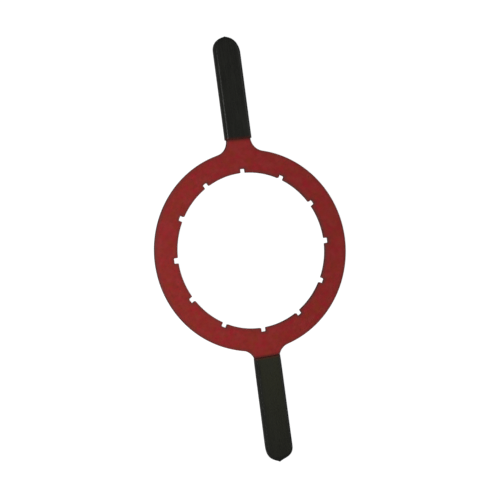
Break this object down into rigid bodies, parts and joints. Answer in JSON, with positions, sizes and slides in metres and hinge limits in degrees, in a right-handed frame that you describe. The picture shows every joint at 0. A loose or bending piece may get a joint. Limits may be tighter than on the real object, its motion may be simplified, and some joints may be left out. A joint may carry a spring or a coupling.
{
  "type": "two-handled ring wrench",
  "caption": "Flat steel ring wrench with a notched bore and two opposite handles in black vinyl grips, for turning large round housings.",
  "frame": {"origin": "centre of the notched bore, halfway through the plate's thickness", "axes": "+Z along the bore's axis, square to the plate; +Y along the upper handle; +X to its right, across the handles"},
  "size_m": [0.206, 0.4381, 0.0088],
  "materials": {
    "red_powder_coat": "satin powder coat",
    "black_vinyl": "soft semi-matte dip-moulded vinyl"
  },
  "bodies": {
    "root": {"wrench_plate": "red_powder_coat", "upper_grip": "black_vinyl", "lower_grip": "black_vinyl"}
  },
  "joints": []
}
